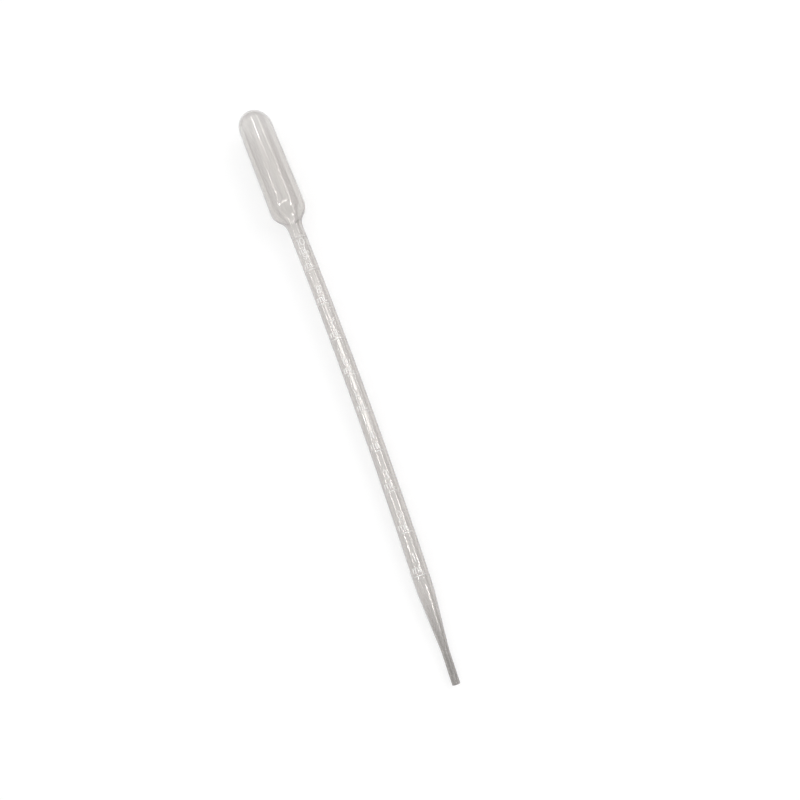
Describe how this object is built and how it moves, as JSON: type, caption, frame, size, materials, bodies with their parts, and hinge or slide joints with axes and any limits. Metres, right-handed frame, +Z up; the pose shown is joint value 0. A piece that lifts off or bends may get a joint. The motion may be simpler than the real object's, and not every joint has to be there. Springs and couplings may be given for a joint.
{
  "type": "graduated transfer pipette",
  "caption": "Long one-piece plastic dropper pipette with a squeeze bulb, graduated stem and tapered open tip, lying on its side.",
  "frame": {"origin": "on the surface it lies on, in the middle of its footprint", "axes": "+Z up, +Y along the stem towards the bulb; the stem bows slightly to +X and the graduation is on the upper side"},
  "size_m": [0.0218, 0.3301, 0.0215],
  "materials": {
    "clear_polyethylene": "clear natural low-density polyethylene, glossy, slightly hazy"
  },
  "bodies": {
    "root": {"pipette": "clear_polyethylene"}
  },
  "joints": []
}
